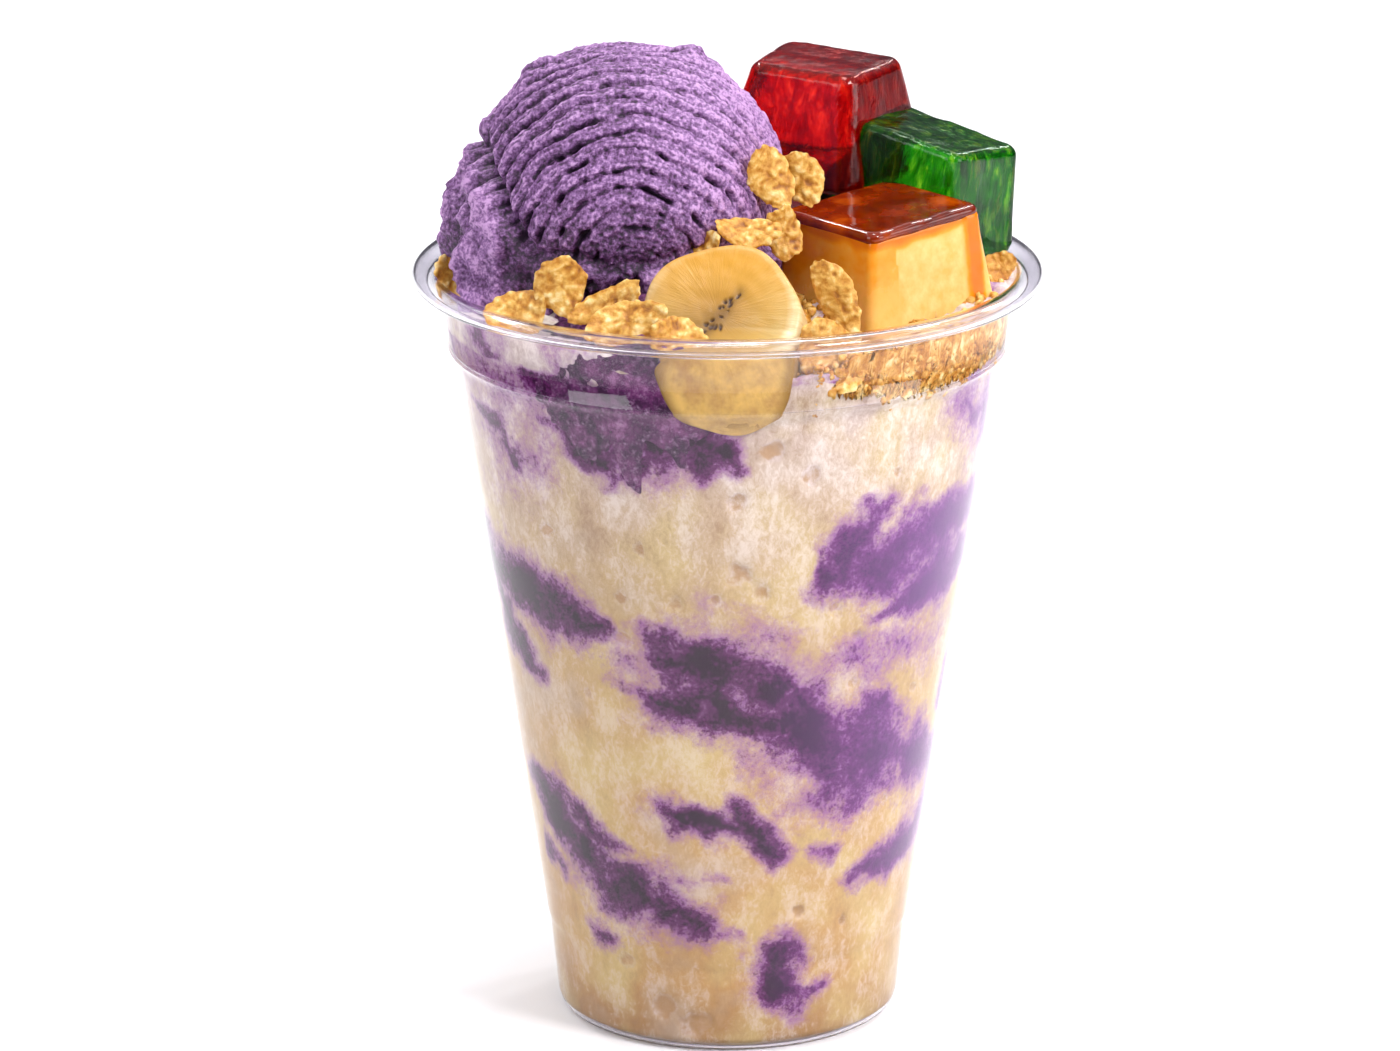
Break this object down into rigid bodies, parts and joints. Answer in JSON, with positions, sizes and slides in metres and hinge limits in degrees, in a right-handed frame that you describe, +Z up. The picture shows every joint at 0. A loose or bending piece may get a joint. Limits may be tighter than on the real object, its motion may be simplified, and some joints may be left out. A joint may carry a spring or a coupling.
{
  "type": "halo-halo dessert in a clear cup",
  "caption": "Shaved-ice dessert in a tapered clear cup, with purple yam streaks, a yam ice cream scoop, jelly blocks, caramel flan, banana and corn flakes heaped over the rim.",
  "frame": {"origin": "centre of the cup's foot, on the surface it stands on", "axes": "+Z up along the cup's axis; -Y is the front, where the banana slice and the flan face; +X is the side of the flan and the jelly"},
  "size_m": [0.0982, 0.0982, 0.1561],
  "materials": {
    "clear_plastic": "clear gloss moulded plastic",
    "shaved_ice": "packed shaved ice with milk, frosty, with purple streaks",
    "yam_jam": "soft purple yam jam",
    "flake_crumbs": "damp crushed corn flakes",
    "yam_ice_cream": "rough scooped ice cream",
    "red_jelly": "wet clear jelly",
    "green_jelly": "wet clear jelly",
    "flan": "smooth baked custard",
    "caramel": "wet caramel",
    "banana": "cut banana",
    "corn_flake": "toasted corn flake"
  },
  "bodies": {
    "root": {"cup": "clear_plastic", "milky_ice": "shaved_ice", "ube_jam": "yam_jam", "crushed_flakes": "flake_crumbs", "ube_scoop": "yam_ice_cream", "jelly_red": "red_jelly", "jelly_green": "green_jelly", "leche_flan": "flan", "caramel_top": "caramel", "banana_slice": "banana", "corn_flake_01": "corn_flake", "corn_flake_02": "corn_flake", "corn_flake_03": "corn_flake", "corn_flake_04": "corn_flake", "corn_flake_05": "corn_flake", "corn_flake_06": "corn_flake", "corn_flake_07": "corn_flake", "corn_flake_08": "corn_flake", "corn_flake_09": "corn_flake", "corn_flake_10": "corn_flake", "corn_flake_11": "corn_flake", "corn_flake_12": "corn_flake", "corn_flake_13": "corn_flake", "corn_flake_14": "corn_flake"}
  },
  "joints": []
}
